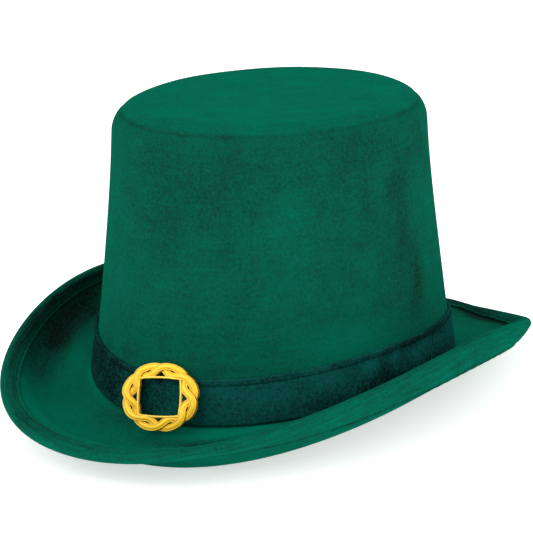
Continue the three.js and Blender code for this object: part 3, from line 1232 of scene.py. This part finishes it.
@dataclass
class Hem:
    """The padded binding folded over the brim's edge, sewn through above and below."""

    form: HatForm
    rim: RimForm
    columns: int = 900
    top_stitch: float = 7.9
    under_stitch: float = 11.4
    groove_depth: float = 0.5
    groove_spread: float = 0.6
    # Painted shade in the stitches' groove.
    groove_shade: float = 0.22
    puckers: int = 104
    pucker_depth: float = 0.1
    pucker_reach: float = 3.2
    pucker_dark: float = 0.05
    swell: float = 0.05
    lip_inset: float = 0.8
    lip_spread: float = 0.55
    lip_roll: float = 0.55
    edge_inset: float = 0.6
    edge_spread: float = 0.5
    # Painted highlight on the lip beside the top edge.
    edge_highlight: float = 0.34
    # Patches of brushed pile and painted shade, darkest on the hem at the left curl and on its
    # concave top at the back.
    patches: tuple[NapAndShadePatch, ...] = nap_and_shade_rows(
        (-68, 2.2, 22, 3, 0.5), (-62, 6.4, 12, 2.4, 0.28), (-46, 4.5, 16, 3.2, 0.16),
        (-22, 4.5, 26, 3.2, 0.16), (-92, 2.4, 12, 2.6, 0.3), (168, 8.8, 18, 1.4, 0.35),
        (-2, 4, 24, 5, 0.14), (172, 5.5, 22, 3.2, 0.52),
    )

    def _cloth(self, width: float) -> tuple[np.ndarray, np.ndarray]:
        """One side of the cloth in the section, from its rounded edge to the roll.

        The edge is half a circle of the skin's thickness, and beside it a bell curve lifts the
        cloth in a lip.

        Args:
            width: The side's width.

        Returns:
            Insets and lifts.
        """
        slot = self.form.brim_thick / 2.0 + self.form.gap
        nose = self.form.hem_skin / 2.0
        tip = np.radians(np.linspace(-90.0, 90.0, 7))
        inset = np.linspace(width - nose, self.form.hem_half, 19)[1:]
        lip = self.lip_roll * bell(inset, width - self.lip_inset, self.lip_spread)
        return (
            np.concatenate([width - nose + nose * np.cos(tip), inset]),
            np.concatenate(
                [slot + nose + nose * np.sin(tip), self.form.hem_lift(inset, width) + lip]
            ),
        )

    def _outline(self) -> tuple[np.ndarray, np.ndarray, np.ndarray]:
        """The section's closed outline, from the upper edge round the roll to the lower one.

        The roll is a half circle. Inside is the slot that holds the brim's sheet.

        Returns:
            Insets, lifts, and the outward direction of each point: 1 up, -1 down, 0 inside.
        """
        roll, core = self.form.hem_half, self.form.hem_core
        slot = self.form.brim_thick / 2.0 + self.form.gap
        top_inset, top_lift = self._cloth(self.form.hem_top)
        low_inset, low_lift = self._cloth(self.form.hem_under)
        around = np.radians(np.linspace(90.0, -90.0, 15)[1:-1])
        slot_inset = np.array([10.0, 7.0, core, core, 7.0])
        slot_lift = slot * np.array([-1.0, -1.0, -1.0, 1.0, 1.0])
        inset = [top_inset, roll - roll * np.cos(around), low_inset[::-1], slot_inset]
        lift = [top_lift, roll * np.sin(around), -low_lift[::-1], slot_lift]
        side_of = [
            np.ones(len(top_inset)),
            np.sin(around),
            -np.ones(len(low_inset)),
            np.zeros(len(slot_inset)),
        ]
        return np.concatenate(inset), np.concatenate(lift), np.concatenate(side_of)

    def _near_rows(self, inset: np.ndarray, side_of: np.ndarray, spread: float) -> np.ndarray:
        """How near a point is to the stitches: a bell curve round each row of them.

        Args:
            inset: Insets from the rim.
            side_of: 1 on the upper side and -1 on the lower.
            spread: How far from a row the curve falls to 1/e.

        Returns:
            Shares from 0 to 1.
        """
        above = bell(inset, self.top_stitch, spread) * (side_of > 0.5)
        below = bell(inset, self.under_stitch, spread) * (side_of < -0.5)
        return above + below

    def build(self, finish: Velour) -> bpy.types.Object:
        """Builds the hem and dresses it.

        Along the hem the stitches' groove and the cloth beside it swell and draw in, in
        puckers of uneven length, and the roll's thickness wanders a little.

        Args:
            finish: The velour.

        Returns:
            The piece.
        """
        turn = turns(self.columns)
        middle = BrimSheet(self.form, self.rim, turn)
        inset, lift, side_of = (row[:, None] for row in self._outline())
        drawn = self._near_rows(inset, side_of, self.groove_spread)
        near = self._near_rows(inset, side_of, self.pucker_reach)
        # Painted highlight on the raised lip beside the top edge.
        edge = bell(inset, self.form.hem_top - self.edge_inset, self.edge_spread)
        edge = edge * (side_of > 0.5)
        wander = ripple(turn, 0.0 * inset, Ripple.HEM)
        pucker = np.sin(self.puckers * turn + 3.0 * wander + 2.0 * side_of)
        half = self.form.hem_half
        swell = self.swell * wander - self.groove_depth * drawn / half
        change = lift * swell + side_of * self.pucker_depth * pucker * near
        rest = middle.sheet(np.broadcast_to(inset, change.shape), np.zeros(change.shape))
        airy = smooth_step(rest[..., 2], half + 0.2, half + 3.0)
        change = np.where(side_of < 0.0, change * airy, change)
        rings = middle.sheet(inset, lift + change)
        along = np.concatenate([[0.0], np.cumsum(np.hypot(*np.diff([inset[:, 0], lift[:, 0]])))])
        crush = patched(self.patches, turn, inset) * (side_of > 0.2)
        fields = {
            Field.LAY: lay_field(turn, along[:, None], self.rim.half_length),
            Field.CRUSH_AND_SHADE: crush + self.pucker_dark * pucker * near,
            # Painted shade in the stitches' groove, less a painted highlight on the lip beside the
            # top edge.
            Field.SEAM_AND_SHADE: self.groove_shade * drawn - self.edge_highlight * edge,
        }
        surface = Surface.from_rings(rings, fields, closed=True)
        piece = surface.to_object("padded_hem", finish.material())
        return dress(piece, "brim_hem")


@dataclass
class StitchRows:
    """The hem's two rows of running stitches, each stitch a short capsule of thread."""

    form: HatForm
    rim: RimForm
    hem: Hem
    pitch: float = 3.1
    length: float = 2.1
    radius: float = 0.18
    sunk: float = 0.8
    around: int = 6
    path_steps: int = 3600

    def _capsule(self) -> np.ndarray:
        """Rings of one stitch, along x.

        The radius is nearly that of the thread times the root of 1 minus the fourth power of
        the place, which goes from -1 at one end to 1 at the other.

        Returns:
            Points, as rows of rings.
        """
        place = np.array([-1.0, -0.82, -0.3, 0.3, 0.82, 1.0])
        radius = self.radius * np.sqrt(np.clip(1.02 - place**4, 0.0, 1.0))
        angle = turns(self.around)
        x = np.broadcast_to((place * self.length / 2.0)[:, None], (len(place), self.around))
        return np.stack([x, radius[:, None] * np.cos(angle), radius[:, None] * np.sin(angle)], -1)

    def _row(self, inset: float, up: float) -> tuple[np.ndarray, np.ndarray, np.ndarray]:
        """Places of the stitches of one row, at equal distances along it.

        Args:
            inset: The row's inset from the rim.
            up: 1 on the upper side and -1 on the lower.

        Returns:
            The stitches' middles, their directions, and the directions out of the cloth.
        """
        fine = turns(self.path_steps)
        middle = BrimSheet(self.form, self.rim, fine)
        width = self.form.hem_top if up > 0.0 else self.form.hem_under
        flat = np.full((1, len(fine)), inset)
        lift = self.form.hem_lift(np.array(inset), width) - self.sunk * self.hem.groove_depth
        lift = up * float(lift)
        path = middle.sheet(flat, np.full_like(flat, lift))[0]
        out = path - middle.sheet(flat, np.full_like(flat, lift - up))[0]
        steps = np.linalg.norm(np.roll(path, -1, axis=0) - path, axis=1)
        run = np.concatenate([[0.0], np.cumsum(steps)])
        count = int(run[-1] / self.pitch)
        wanted = np.linspace(0.0, run[-1], count, endpoint=False)
        index = np.searchsorted(run, wanted, side="right") - 1
        way = np.roll(path, -1, axis=0)[index] - path[index]
        return path[index], unit(way), out[index]

    def build(self, finish: Thread) -> bpy.types.Object:
        """Builds both rows as one piece and dresses it.

        Args:
            finish: The thread.

        Returns:
            The piece.
        """
        capsule = self._capsule()
        rings, columns = capsule.shape[:2]
        one = Surface.from_rings(capsule, {Field.CREST: np.zeros((rings, columns))}, capped=True)
        parts: list[np.ndarray] = []
        for inset, up in ((self.hem.top_stitch, 1.0), (self.hem.under_stitch, -1.0)):
            place, way, out = self._row(inset, up)
            across = np.cross(out, way)
            basis = np.stack([way, across, out], axis=1)
            parts.append(place[:, None] + np.einsum("pk,skc->spc", one.points, basis))
        points = np.concatenate(parts)
        count, size = points.shape[:2]
        faces = [
            (np.array(kind)[None] + size * np.arange(count)[:, None, None]).reshape(-1, corners)
            for corners in (3, 4)
            if (kind := [face for face in one.faces if len(face) == corners])
        ]
        joined = Surface(points.reshape(-1, 3), [row for part in faces for row in part.tolist()])
        piece = joined.to_object("hem_stitches", finish.material())
        return dress(piece)


@dataclass
class Band:
    """The band: a strip of dark velour round the crown's foot, with its top edge folded over."""

    form: HatForm
    columns: int = 480
    wave: float = 0.22
    wave_spread: float = 7.5
    edge_round: float = 0.9
    fold_groove: float = 0.1
    # Painted shade on the fold's strip and in the groove at its foot.
    fold_shade: float = 0.2
    groove_shade: float = 0.06
    join_turn: float = 180.0
    join_width: float = 1.1
    join_depth: float = 0.4
    join_dark: float = 0.3
    # Patches of brushed pile and painted light: painted highlights where the depth is negative,
    # painted shade on the fold's strip and along the lower edge at the right, and darker patches on
    # the left.
    patches: tuple[NapAndShadePatch, ...] = nap_and_shade_rows(
        (70, 15.7, 2.5, 4, -0.35), (80, 17, 2.5, 3, -0.35), (90, 14, 2.5, 4, -0.2),
        (36, 11, 8, 6, -0.12), (102, 12, 9, 12, 0.25), (98, 20.5, 18, 3, 0.22),
        (98, 4, 20, 5, 0.4), (76, 11, 2.5, 8, 0.2), (70, 8, 3, 5, 0.25), (57, 15, 5, 6, -0.15),
        (84, 19, 8, 3, 0.2), (78, 6, 12, 5, 0.26), (54, 4, 14, 5, 0.28), (2, 13, 9, 10, 0.2),
        (-18, 13, 8, 7, 0.14), (-54, 11, 32, 18, 0.62),
    )

    def _outline(self) -> tuple[np.ndarray, np.ndarray, np.ndarray]:
        """The section's closed outline: heights over the foot, offsets, and 1 on the face.

        The face steps out by the fold's swell at the fold's foot, where a groove draws it in.
        Both long edges are rounded.

        Returns:
            Heights, offsets, and whether a point lies on the face.
        """
        thick, tall = self.form.band_thick, self.form.band_height
        inner, face = self.form.gap, self.form.gap + self.form.band_thick
        foot = tall - self.form.fold_height
        below, above = np.linspace(0.35, foot - 0.5, 24), np.linspace(foot - 0.3, tall - 0.4, 14)
        height = np.concatenate([below, above])
        step = smooth_step(height, foot - 0.15, foot + 0.45)
        rounded = np.ones_like(height)
        for depth in (tall - height, height):
            edge = np.clip(depth / self.edge_round, 0.0, 1.0)
            rounded = rounded * np.sqrt(edge * (2.0 - edge))
        groove = self.fold_groove * bell(height, foot - 0.1, 0.45)
        swell = self.form.fold_swell * step - groove
        offset = inner + (thick + swell) * (0.55 + 0.45 * rounded)
        top = np.array([[tall, face - 0.2], [tall, inner]])
        back = np.array([[tall / 2.0, inner], [0.0, inner], [0.0, face - 0.5]])
        ends = np.concatenate([top, back])
        heights = np.concatenate([height, ends[:, 0]])
        offsets = np.concatenate([offset, ends[:, 1]])
        return heights, offsets, np.arange(len(heights)) < len(height)

    def flat_length(self) -> float:
        """Length of the strip: that of the oval at half the band's height.

        Returns:
            The length in metres.
        """
        turn = turns(720)
        z = self.form.band_foot(turn) + self.form.band_height / 2.0
        ring = self.form.oval(turn, z, np.full_like(turn, self.form.gap))
        return float(np.linalg.norm(np.roll(ring, -1, axis=0) - ring, axis=1).sum() * MM)

    def build(self, finish: Velour) -> bpy.types.Object:
        """Builds the band, with its sewn join at the back, and dresses it.

        Args:
            finish: The dark velour.

        Returns:
            The piece.
        """
        turn = turns(self.columns)
        height, offset, face = (row[:, None] for row in self._outline())
        z = self.form.band_foot(turn) + height
        fade = bell(height, self.form.band_height * 0.42, self.wave_spread) * face
        uneven = self.wave * ripple(turn, 3.0 * height, Ripple.BAND) * fade
        join = bell(away_from(turn, self.join_turn), 0.0, self.join_width) * face
        rings = self.form.oval(turn, z, offset + uneven - self.join_depth * join)
        foot = self.form.band_height - self.form.fold_height
        # Painted shade on the fold's strip and in the groove at its foot.
        strip = self.fold_shade * smooth_step(height, foot - 0.2, foot + 0.4)
        groove = self.groove_shade * bell(height, foot - 0.1, 0.6)
        fields = {
            Field.LAY: lay_field(turn, height, self.form.foot_front),
            Field.CRUSH_AND_SHADE: patched(self.patches, turn, height),
            Field.SEAM_AND_SHADE: (strip + groove) * face + self.join_dark * join,
        }
        surface = Surface.from_rings(rings, fields, closed=True)
        piece = surface.to_object("folded_band", finish.material())
        return dress(piece, "hat_band")


@dataclass
class Buckle:
    """The cast buckle: a ring of two crossing ribbed strands round a thin frame."""

    form: HatForm
    width: float = 42.4
    height: float = 32.4
    turn: float = 5.9
    lean: float = 20.0
    roll: float = 8.3
    middle_raise: float = 2.1
    lobes: int = 4
    strand_width: float = 3.3
    strand_thick: float = 2.2
    swing: float = 1.95
    inset: float = 0.8
    weave: float = 0.6
    rib: float = 0.8
    rib_share: float = 0.68
    edge_share: float = 0.17
    strand_steps: int = 320
    opening_width: float = 22.3
    opening_height: float = 16.7
    bar: float = 1.05
    bar_thick: float = 1.5
    bar_power: float = 0.55
    bar_raise: float = 0.1
    bow: float = 0.65
    bar_steps: int = 60

    def _strand(self, side: float) -> Surface:
        """One strand.

        Its middle line is a circle whose radius swings by the sine of four times the angle,
        less the inset times that sine's square plus three quarters of the inset, widened to
        the buckle's width. It rises over and sinks under the other strand with the cosine. Its
        section has a flat back, a broad round rib and a thin bead along each edge.

        Args:
            side: 1 or -1, for the two strands that cross.

        Returns:
            The strand's surface in the buckle's own plane.
        """
        half = self.strand_width / 2.0
        back, crest = -self.strand_thick / 2.0, self.strand_thick / 2.0
        across = np.linspace(1.0, -1.0, 45)
        rib = np.clip(1.0 - (across / self.rib_share) ** 2, 0.0, 1.0) ** 0.4
        beside = (np.abs(across) - 1.0 + self.edge_share) / self.edge_share
        edge = np.sqrt(np.clip(1.0 - beside**2, 0.0, 1.0))
        front = crest - self.rib * (1.0 - np.maximum(rib, 0.75 * edge))
        outline_x = np.concatenate([across * half, [-half, -0.6 * half, 0.6 * half, half]])
        outline_z = np.concatenate([front, [back + 0.4, back, back, back + 0.4]])
        crest_value = np.concatenate([np.maximum(0.85 * rib, edge), [0.5, 0.3, 0.3, 0.5]])

        angle = turns(self.strand_steps)
        mean = self.height / 2.0 - half - self.swing / 2.0 + 0.75 * self.inset
        wave, slope = np.sin(self.lobes * angle), np.cos(self.lobes * angle)
        radius = mean + side * self.swing * wave - self.inset * wave**2
        change = (side * self.swing - 2.0 * self.inset * wave) * self.lobes * slope
        middle = np.stack([radius * np.cos(angle), radius * np.sin(angle)], axis=-1)
        way = np.stack(
            [change * np.cos(angle) - middle[:, 1], change * np.sin(angle) + middle[:, 0]], axis=-1
        )
        way = unit(way)
        normal = np.stack([way[:, 1], -way[:, 0]], axis=-1)
        rise = -side * self.weave * slope
        plane = middle[:, None] + normal[:, None] * outline_x[None, :, None]
        plane = plane * np.array([self.width / self.height, 1.0])
        z = rise[:, None] + outline_z[None]
        rings = np.concatenate([plane, z[..., None]], axis=-1)
        return Surface.from_rings(rings, {Field.CREST: crest_value[None]}, closed=True)

    def _frame(self) -> Surface:
        """The frame: a rounded bar carried round a rectangle whose sides bow out a little.

        The path goes along the four sides. Each point moves out by the bow times one minus
        the square of its place from the side's middle. The bar's section is a superellipse.

        Returns:
            The frame's surface in the buckle's own plane.
        """
        half_x = (self.opening_width + self.bar) / 2.0
        half_y = (self.opening_height + self.bar) / 2.0
        place = np.linspace(-1.0, 1.0, self.bar_steps, endpoint=False)
        bowed = self.bow * (1.0 - place**2)
        sides = [
            np.stack([place * half_x, -half_y - bowed], axis=-1),
            np.stack([half_x + bowed, place * half_y], axis=-1),
            np.stack([-place * half_x, half_y + bowed], axis=-1),
            np.stack([-half_x - bowed, -place * half_y], axis=-1),
        ]
        path = np.concatenate(sides)
        way = unit(np.roll(path, -1, axis=0) - np.roll(path, 1, axis=0))
        normal = np.stack([way[:, 1], -way[:, 0]], axis=-1)
        angle = turns(20)
        level_part, high_part = (
            np.sign(wave) * np.abs(wave) ** self.bar_power
            for wave in (np.cos(angle), np.sin(angle))
        )
        reach, high = level_part * self.bar / 2.0, high_part * self.bar_thick / 2.0
        plane = path[:, None] + normal[:, None] * reach[None, :, None]
        level = (self.strand_thick - self.bar_thick) / 2.0 + self.bar_raise
        z = np.broadcast_to(level + high, plane.shape[:2])
        rings = np.concatenate([plane, z[..., None]], axis=-1)
        value = 0.75 + 0.2 * np.sin(angle)
        return Surface.from_rings(rings, {Field.CREST: value[None]}, closed=True)

    def _placed(self, local: np.ndarray) -> np.ndarray:
        """Moves points of the buckle's plane to where it leans on the band's fold.

        The plane is rolled about its middle, leaned back, moved down along itself from where
        it touches the fold, out by half its thickness, and turned round the crown.

        Args:
            local: Points across, up and out of the buckle's plane.

        Returns:
            Points in space.
        """
        turn, lean, roll = np.radians([self.turn, self.lean, self.roll])
        at = np.array(turn)
        fold_top = self.form.band_foot(at) + self.form.band_height
        offset = 2.0 * self.form.gap + self.form.band_thick + self.form.fold_swell
        touch = self.form.oval(at, fold_top, np.array(offset))
        down = (self.form.band_height / 2.0 - self.middle_raise) / math.cos(lean)
        shift = Matrix.Translation((0.0, -down, self.strand_thick / 2.0))
        move = (
            Matrix.Translation(Vector(touch))
            @ Matrix.Rotation(turn, 4, "Z")
            @ Matrix.Rotation(math.pi / 2.0 - lean, 4, "X")
            @ shift
            @ Matrix.Rotation(roll, 4, "Z")
        )
        matrix = np.array(move)
        return local @ matrix[:3, :3].T + matrix[:3, 3]

    def build(self, finish: Gold) -> bpy.types.Object:
        """Builds the buckle and dresses it.

        Args:
            finish: The gold.

        Returns:
            The piece.
        """
        surface = self._strand(1.0).joined(self._strand(-1.0)).joined(self._frame())
        surface.points = self._placed(surface.points)
        piece = surface.to_object("braided_buckle", finish.material())
        return dress(piece, "buckle")


def dress(piece: bpy.types.Object, node: str | None = None) -> bpy.types.Object:
    """Lets a piece ride on the hat's body and hides the solid of the node that it stands for.

    Args:
        piece: The piece, already in place.
        node: The node that it replaces, if any.

    Returns:
        The same piece.
    """
    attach(piece, BODY)
    if node:
        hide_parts(node)
    return piece


# The studio


@dataclass(frozen=True)
class SoftLight:
    """A square area light on a bearing round the hat: degrees, metres and watts."""

    name: str
    azimuth: float
    elevation: float
    distance: float
    size: float
    watts: float


@dataclass
class Studio:
    """The pale floor, the soft lights and the camera."""

    azimuth: float = 38.27
    elevation: float = 16.8
    roll: float = -0.952
    distance: float = 1.04
    lens: float = 135.5
    side_shift: float = -0.00366
    target_height: float = 0.06377
    floor_size: float = 14.0
    floor_drop: float = 0.0004
    world_strength: float = 1.0
    lights: tuple[SoftLight, ...] = (
        SoftLight("top_light", 20.0, 76.0, 1.8, 1.6, 4.0),
        SoftLight("left_light", -30.0, 28.0, 1.9, 1.0, 7.0),
        SoftLight("right_light", 100.0, 30.0, 1.9, 1.0, 7.0),
    )

    def place_camera(self) -> None:
        """Sets the camera on its bearing, at its distance from the target, with its roll."""
        azimuth, elevation, roll = np.radians([self.azimuth, self.elevation, self.roll])
        level = math.cos(elevation)
        back = np.array(
            [math.sin(azimuth) * level, -math.cos(azimuth) * level, math.sin(elevation)]
        )
        right = np.array([math.cos(azimuth), math.sin(azimuth), 0.0])
        up = np.cross(back, right)
        target = right * self.side_shift + np.array([0.0, 0.0, self.target_height])
        place = target + back * self.distance
        x_axis = right * math.cos(roll) + up * math.sin(roll)
        y_axis = up * math.cos(roll) - right * math.sin(roll)
        data = bpy.data.cameras.new("camera")
        data.lens, data.sensor_width = self.lens, 36.0
        data.clip_start, data.clip_end = 0.05, 50.0
        camera = bpy.data.objects.new("camera", data)
        columns = np.stack([x_axis, y_axis, back, place], axis=1)
        camera.matrix_world = Matrix(np.vstack([columns, [0.0, 0.0, 0.0, 1.0]]).tolist())
        bpy.context.scene.collection.objects.link(camera)
        bpy.context.scene.camera = camera

    def place_light(self, light: SoftLight) -> None:
        """Puts a light on its bearing, facing the hat.

        Args:
            light: The light, with its bearing 0 at the front and 90 at +X.
        """
        bearing, rise = math.radians(light.azimuth), math.radians(light.elevation)
        level = math.cos(rise)
        back = Vector((math.sin(bearing) * level, -math.cos(bearing) * level, math.sin(rise)))
        data = bpy.data.lights.new(light.name, "AREA")
        data.shape, data.size, data.energy = "SQUARE", light.size, light.watts
        lamp = bpy.data.objects.new(light.name, data)
        lamp.location = back * light.distance + Vector((0.0, 0.0, self.target_height))
        lamp.rotation_mode = "QUATERNION"
        lamp.rotation_quaternion = back.to_track_quat("Z", "Y")
        bpy.context.scene.collection.objects.link(lamp)

    def build(self) -> None:
        """Makes the floor, the world, the lights and the camera."""
        half = self.floor_size / 2.0
        corners = [(-half, -half), (half, -half), (half, half), (-half, half)]
        mesh = bpy.data.meshes.new("floor")
        mesh.from_pydata([(x, y, -self.floor_drop) for x, y in corners], [], [(0, 1, 2, 3)])
        mesh.materials.append(PaleFloor().material())
        floor = bpy.data.objects.new("floor", mesh)
        bpy.context.scene.collection.objects.link(floor)

        world = bpy.data.worlds.new("studio")
        world.use_nodes = True
        sky = world.node_tree.nodes["Background"]
        sky.inputs["Color"].default_value = (1.0, 1.0, 1.0, 1.0)
        sky.inputs["Strength"].default_value = self.world_strength
        bpy.context.scene.world = world
        bpy.context.scene.view_settings.view_transform = "Standard"

        for light in self.lights:
            self.place_light(light)
        self.place_camera()


def main() -> None:
    """Builds the studio and the hat's pieces in order, and logs each piece's faces."""
    logging.basicConfig(level=logging.INFO, format="%(name)s: %(message)s")
    form, rim = HatForm(), RimForm()
    green = {"deep": (0.0045, 0.01, 0.0085), "bright": (0.0004, 0.133, 0.08)}
    tint = (0.01, 1.0, 0.6)
    velour = Velour("green_velour", sheen_tint=tint, **green)
    hem_velour = Velour("hem_velour", sheen_tint=tint, level=0.62, streak=0.5, **green)
    band_velour = Velour(
        "band_velour",
        deep=(0.003, 0.009, 0.009),
        bright=(0.005, 0.11, 0.096),
        sheen_tint=(0.1, 1.0, 0.85),
        level=0.5,
        patch=0.3,
        mottle=0.34,
        grain=1.0,
        sheen=0.03,
    )
    studio = Studio()
    studio.build()

    crown = Crown(form).build(velour)
    brim = Brim(form, rim).build(velour)
    hem_maker = Hem(form, rim)
    hem = hem_maker.build(hem_velour)
    thread = Thread("hem_thread", (0.001, 0.1, 0.062), (0.001, 0.05, 0.032))
    stitches = StitchRows(form, rim, hem_maker).build(thread)
    band_maker = Band(form)
    band = band_maker.build(band_velour)
    buckle = Buckle(form).build(Gold())

    band_maker.flat_length()
    for piece in (crown, brim, hem, stitches, band, buckle):
        log.info("%s: %d faces", piece.name, len(piece.data.polygons))


if __name__ == "__main__":
    main()
